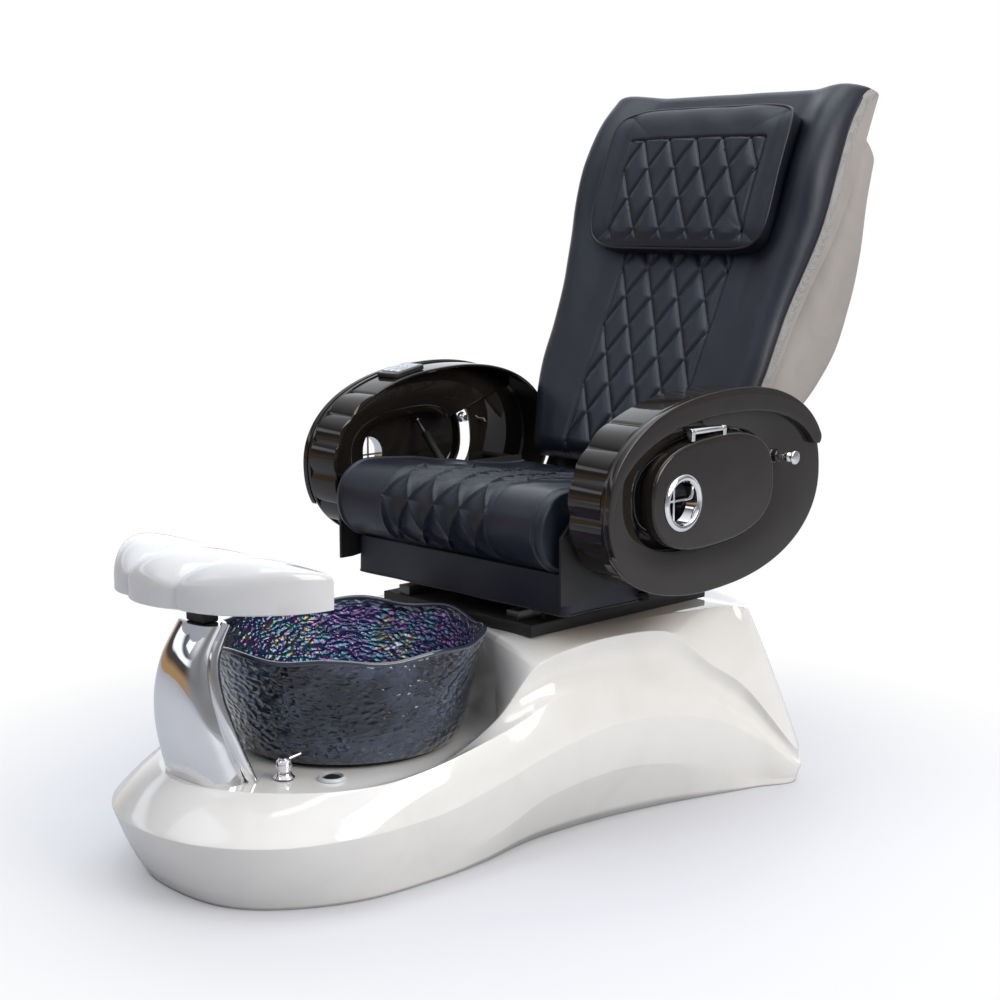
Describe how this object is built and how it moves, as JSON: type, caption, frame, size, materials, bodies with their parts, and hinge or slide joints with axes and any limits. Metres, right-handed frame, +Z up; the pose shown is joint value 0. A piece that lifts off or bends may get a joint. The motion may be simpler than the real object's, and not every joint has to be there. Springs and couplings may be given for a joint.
{
  "type": "pedicure spa chair",
  "caption": "Pedicure chair on a moulded base with a glass foot bowl, tilting footrest, sliding seat, reclining massage back and oval armrests with fold-out cup trays.",
  "frame": {"origin": "centre of the bounding box in plan, on the floor under the feet", "axes": "+Z up, the chair faces -Y, +X is the left of a person sitting in it"},
  "size_m": [0.915, 1.5943, 1.3751],
  "materials": {
    "gloss_white": "moulded glossy warm white",
    "pad_white": "moulded glossy white",
    "black_steel": "black powder coat",
    "bright_steel": "drawn bar, zinc plated",
    "chrome": "polished",
    "rubber": "matt",
    "bowl_glass": "hammered, blue-grey outside, iridescent inside",
    "grey_plastic": "fine grain",
    "pale_plastic": "satin",
    "black_plastic": "satin",
    "gloss_black": "piano black",
    "black_leather": "soft, slight sheen",
    "plywood": "raw"
  },
  "bodies": {
    "base": {"base_shell": "gloss_white", "base_frame": "black_steel", "levelling_foot_front_left": "rubber", "levelling_foot_front_right": "rubber", "levelling_foot_rear_left": "rubber", "levelling_foot_rear_right": "rubber", "foot_bowl": "bowl_glass", "bowl_gasket": "rubber", "drain_strainer": "chrome", "drain_tail": "grey_plastic", "jet_cover": "chrome", "mixer_body": "chrome", "mixer_gasket": "rubber", "air_button_bezel": "pale_plastic", "air_switch": "black_plastic", "footrest_post": "chrome", "footrest_head": "black_steel", "footrest_pin": "chrome", "pedestal_plate": "black_steel", "slide_rail_left": "bright_steel", "slide_rail_right": "bright_steel", "slide_motor_tube": "black_steel", "cable_loop": "rubber"},
    "mixer_lever": {"mixer_lever": "chrome"},
    "air_button": {"air_button": "black_plastic"},
    "footrest_pad": {"footrest_pad": "pad_white"},
    "seat": {"seat_carriage": "black_steel", "seat_pan": "plywood", "seat_cushion": "black_leather", "seat_valance": "black_leather", "side_frame_left": "black_steel", "side_frame_right": "black_steel", "armrest_body_left": "gloss_black", "armrest_body_right": "gloss_black", "armrest_visor_left": "gloss_black", "armrest_visor_right": "gloss_black", "tray_hinge_left": "chrome", "tray_hinge_right": "chrome", "keypad_body": "grey_plastic", "slide_drive_rod": "bright_steel"},
    "keypad_key_1": {"keypad_key_1": "pale_plastic"},
    "keypad_key_2": {"keypad_key_2": "pale_plastic"},
    "keypad_key_3": {"keypad_key_3": "pale_plastic"},
    "tray_left": {"tray_left": "gloss_black", "cup_ring_left": "chrome"},
    "tray_right": {"tray_right": "gloss_black", "cup_ring_right": "chrome"},
    "tray_stay_left": {"tray_stay_left": "bright_steel"},
    "tray_stay_right": {"tray_stay_right": "bright_steel"},
    "pull_knob_left": {"pull_knob_left": "chrome"},
    "pull_knob_right": {"pull_knob_right": "chrome"},
    "back": {"back_frame": "black_steel", "back_cushion": "black_leather", "back_shell": "grey_plastic", "head_pillow": "black_leather", "massage_tracks": "bright_steel"},
    "massage_carriage": {"massage_carriage": "black_steel"},
    "massage_rollers": {"massage_rollers": "rubber"},
    "recline_actuator_tube": {"recline_actuator_tube": "black_steel"},
    "recline_actuator_rod": {"recline_actuator_rod": "bright_steel"}
  },
  "joints": [
    {"name": "mixer_turn", "type": "hinge", "parent": "base", "child": "mixer_lever", "pos_m": [0.115, -0.5891, 0.2169], "axis": [0, 0, 1], "range_deg": [-45, 45]},
    {"name": "air_button_press", "type": "slide", "parent": "base", "child": "air_button", "axis": [0, 0, -1], "range_m": [0, 0.004], "stiffness_N_per_m": 400},
    {"name": "footrest_tilt", "type": "hinge", "parent": "base", "child": "footrest_pad", "pos_m": [0, -0.6641, 0.474], "axis": [1, 0, 0], "range_deg": [-15, 15]},
    {"name": "seat_slide", "type": "slide", "parent": "base", "child": "seat", "axis": [0, 1, 0], "range_m": [-0.1, 0.08]},
    {"name": "recline", "type": "hinge", "parent": "seat", "child": "back", "pos_m": [0, 0.3489, 0.5], "axis": [1, 0, 0], "range_deg": [-30, 12]},
    {"name": "massage_travel", "type": "slide", "parent": "back", "child": "massage_carriage", "axis": [0, 0.4618, 0.887], "range_m": [-0.1, 0.27]},
    {"name": "massage_spin", "type": "hinge", "parent": "massage_carriage", "child": "massage_rollers", "pos_m": [0, 0.56788, 0.92715], "axis": [1, 0, 0], "continuous": true},
    {"name": "actuator_swing", "type": "hinge", "parent": "seat", "child": "recline_actuator_tube", "pos_m": [0, 0.4489, 0.44], "axis": [1, 0, 0], "range_deg": [-28, 12]},
    {"name": "actuator_reach", "type": "slide", "parent": "recline_actuator_tube", "child": "recline_actuator_rod", "axis": [0, 0.161, 0.987], "range_m": [-0.0605, 0.0245]},
    {"name": "keypad_key_1_press", "type": "slide", "parent": "seat", "child": "keypad_key_1", "axis": [0, 0.1888, -0.982], "range_m": [0, 0.001], "stiffness_N_per_m": 300},
    {"name": "keypad_key_2_press", "type": "slide", "parent": "seat", "child": "keypad_key_2", "axis": [0, 0.1888, -0.982], "range_m": [0, 0.001], "stiffness_N_per_m": 300},
    {"name": "keypad_key_3_press", "type": "slide", "parent": "seat", "child": "keypad_key_3", "axis": [0, 0.1888, -0.982], "range_m": [0, 0.001], "stiffness_N_per_m": 300},
    {"name": "tray_fold_left", "type": "hinge", "parent": "seat", "child": "tray_left", "pos_m": [0.431, 0.1089, 0.741], "axis": [0, -1, 0], "range_deg": [0, 90]},
    {"name": "tray_stay_reach_left", "type": "slide", "parent": "seat", "child": "tray_stay_left", "axis": [0.6947, 0, 0.7193], "range_m": [0, 0.0435]},
    {"name": "knob_pull_left", "type": "slide", "parent": "seat", "child": "pull_knob_left", "axis": [1, 0, 0], "range_m": [0, 0.012], "stiffness_N_per_m": 300},
    {"name": "tray_fold_right", "type": "hinge", "parent": "seat", "child": "tray_right", "pos_m": [-0.431, 0.1089, 0.741], "axis": [0, 1, 0], "range_deg": [0, 90]},
    {"name": "tray_stay_reach_right", "type": "slide", "parent": "seat", "child": "tray_stay_right", "axis": [-0.6947, 0, 0.7193], "range_m": [0, 0.0435]},
    {"name": "knob_pull_right", "type": "slide", "parent": "seat", "child": "pull_knob_right", "axis": [-1, 0, 0], "range_m": [0, 0.012], "stiffness_N_per_m": 300}
  ],
  "couplings": [
    {"joint": "actuator_swing", "follows": "recline", "ratio": 0.885},
    {"joint": "actuator_reach", "follows": "recline", "m_per_rad": 0.114},
    {"joint": "tray_stay_reach_left", "follows": "tray_fold_left", "m_per_rad": 0.0274},
    {"joint": "tray_stay_reach_right", "follows": "tray_fold_right", "m_per_rad": 0.0274}
  ]
}
